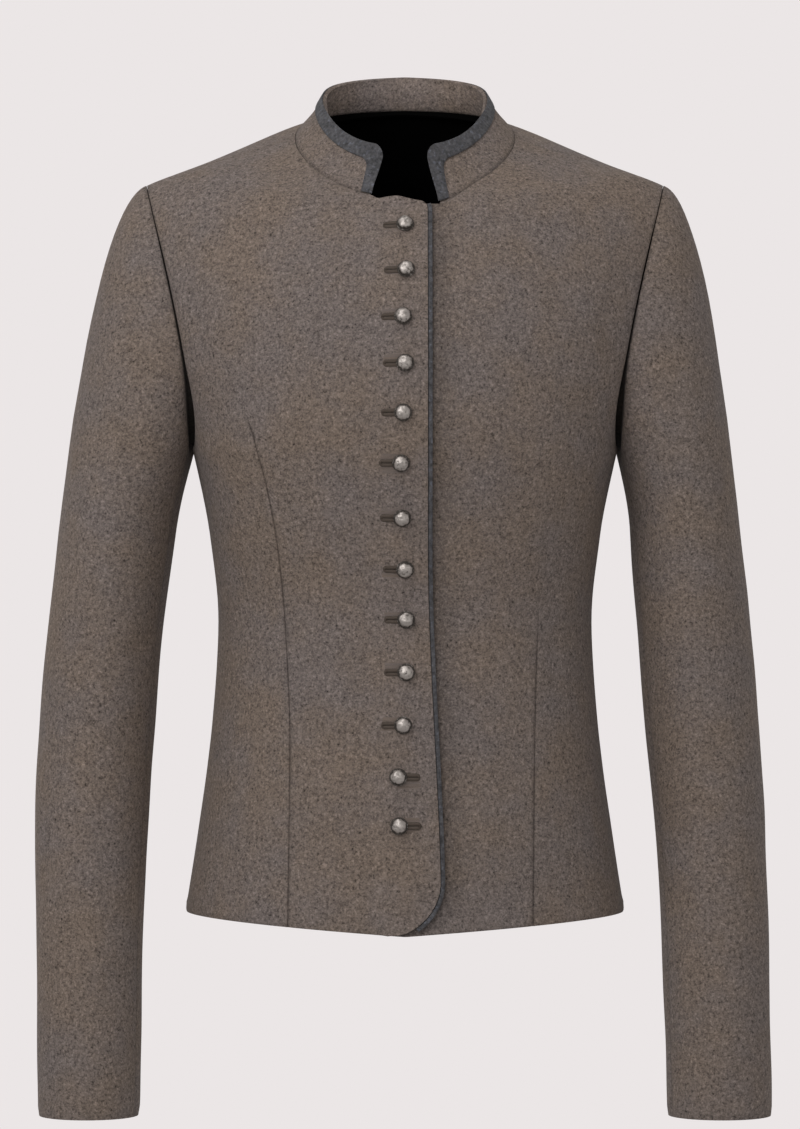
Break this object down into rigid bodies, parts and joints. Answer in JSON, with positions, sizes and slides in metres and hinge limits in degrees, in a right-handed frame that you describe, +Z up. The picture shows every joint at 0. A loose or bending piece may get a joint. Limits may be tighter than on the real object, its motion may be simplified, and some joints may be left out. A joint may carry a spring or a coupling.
{
  "type": "trachten jacket",
  "caption": "Short fitted jacket of felted melange wool with a stand collar, felt trim and a close row of domed metal buttons, hollow and filled out as worn.",
  "frame": {"origin": "middle of the neck, just above the height where the shoulder seams meet the collar, where the wearer's neck and shoulders hold the jacket", "axes": "+Z up, +Y towards the back, +X towards the wearer's left"},
  "size_m": [0.5313, 0.254, 0.7544],
  "materials": {
    "melange_wool": "felted wool, brown and grey melange, matt",
    "slate_felt": "dense felt, slate grey, matt",
    "old_silver": "hammered old silver with dark hollows"
  },
  "bodies": {
    "root": {"front_right": "melange_wool", "front_left": "melange_wool", "back": "melange_wool", "sleeve_upper_right": "melange_wool", "sleeve_under_right": "melange_wool", "sleeve_upper_left": "melange_wool", "sleeve_under_left": "melange_wool", "collar": "melange_wool", "front_edge_piping": "slate_felt", "collar_band": "slate_felt", "button_01": "old_silver", "button_02": "old_silver", "button_03": "old_silver", "button_04": "old_silver", "button_05": "old_silver", "button_06": "old_silver", "button_07": "old_silver", "button_08": "old_silver", "button_09": "old_silver", "button_10": "old_silver", "button_11": "old_silver", "button_12": "old_silver", "button_13": "old_silver"}
  },
  "joints": []
}
